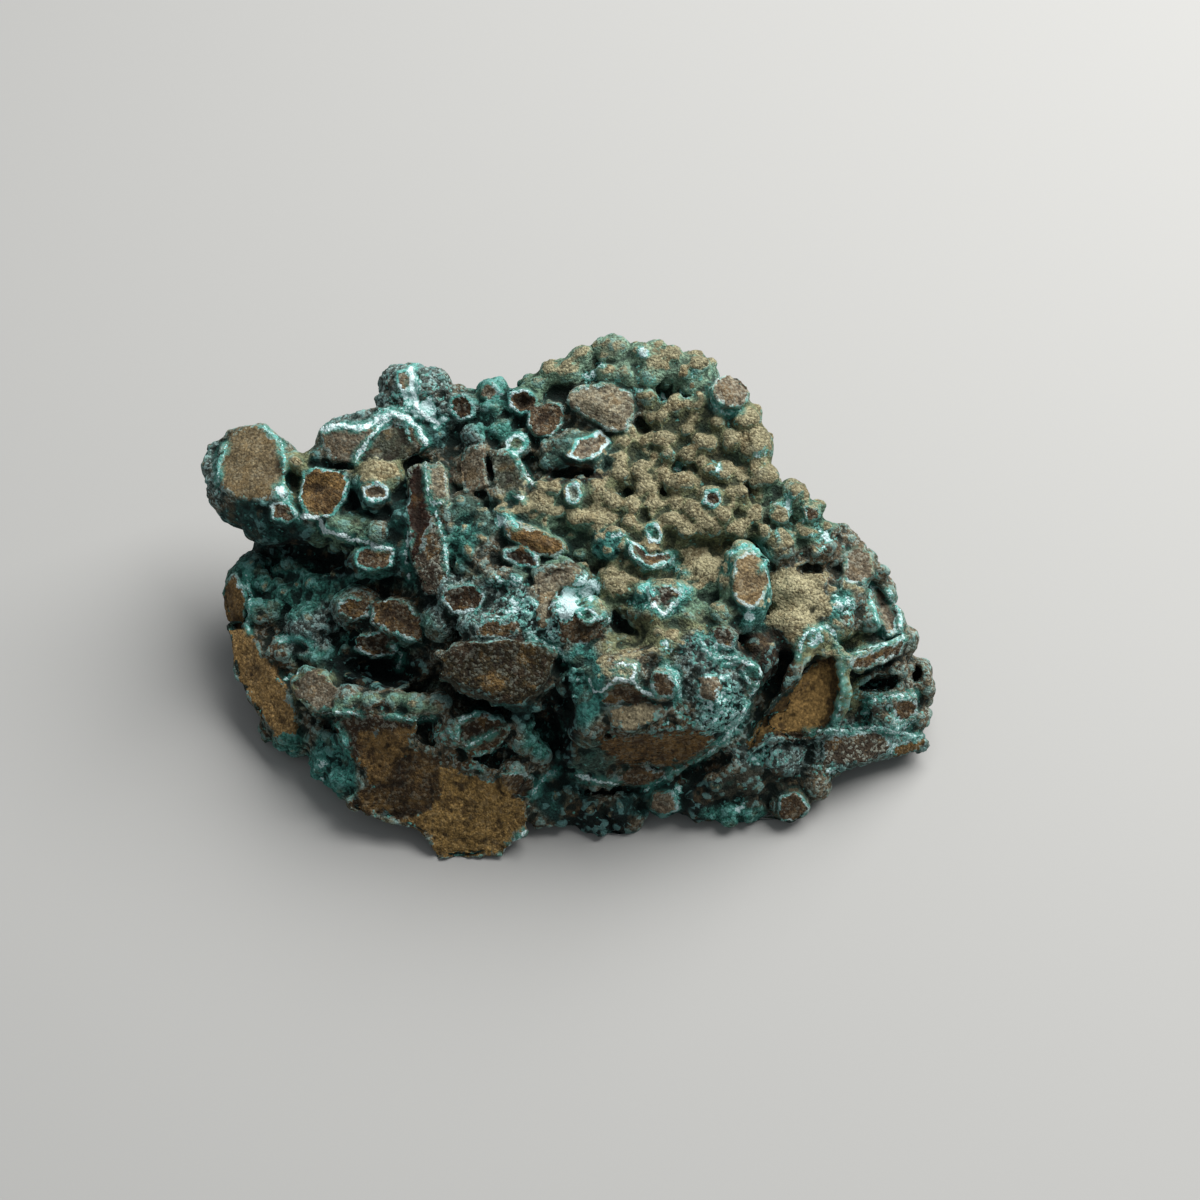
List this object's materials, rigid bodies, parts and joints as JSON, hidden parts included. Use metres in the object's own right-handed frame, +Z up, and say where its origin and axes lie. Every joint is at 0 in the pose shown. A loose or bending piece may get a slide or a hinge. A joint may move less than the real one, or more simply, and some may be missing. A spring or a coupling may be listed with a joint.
{
  "type": "chrysocolla mineral specimen",
  "caption": "Hand-sized lumpy specimen of chrysocolla crust over broken brown copper ore, cut flat beneath to rest on a shelf.",
  "frame": {"origin": "middle of the bounding box's underside, on the flat that the specimen rests on", "axes": "+Z up, away from the resting flat; +X along the specimen's length, from the overhanging knob towards the low tapering end; -Y out of the broken front"},
  "size_m": [0.1104, 0.0686, 0.0451],
  "materials": {
    "chrysocolla_specimen": "matte"
  },
  "bodies": {
    "root": {"chrysocolla_specimen": "chrysocolla_specimen"}
  },
  "joints": []
}
